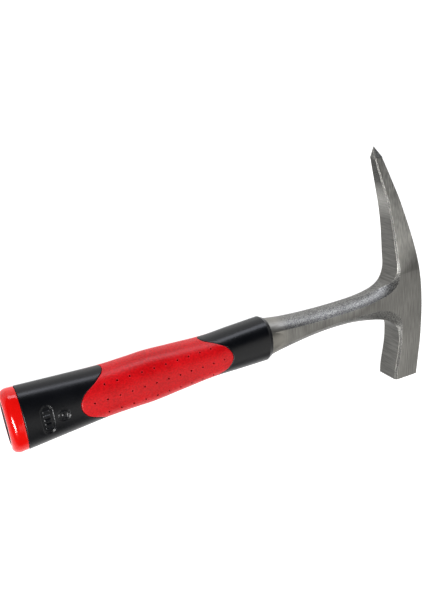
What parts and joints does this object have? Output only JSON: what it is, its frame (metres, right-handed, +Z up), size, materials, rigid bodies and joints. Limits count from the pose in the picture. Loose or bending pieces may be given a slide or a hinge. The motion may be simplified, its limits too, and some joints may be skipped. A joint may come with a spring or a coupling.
{
  "type": "all-steel pick hammer",
  "caption": "Hand hammer forged in one piece with a square striking face, a long curved pick and a steel neck, on a moulded black and red grip.",
  "frame": {"origin": "middle of the bounding box's base, with the hammer lying on its side", "axes": "+X from the butt of the grip to the head, +Y from the striking face to the tip of the pick, +Z up out of the hammer's side"},
  "size_m": [0.33, 0.1941, 0.025],
  "materials": {
    "forged_steel": "ground and blasted",
    "core_plastic": "matte",
    "black_grip": "satin",
    "red_inlay": "fine grain, matte",
    "red_cap": "gloss"
  },
  "bodies": {
    "root": {"steel_forging": "forged_steel", "grip_core": "core_plastic", "grip_body": "black_grip", "soft_inlay": "red_inlay", "butt_cap": "red_cap"}
  },
  "joints": []
}
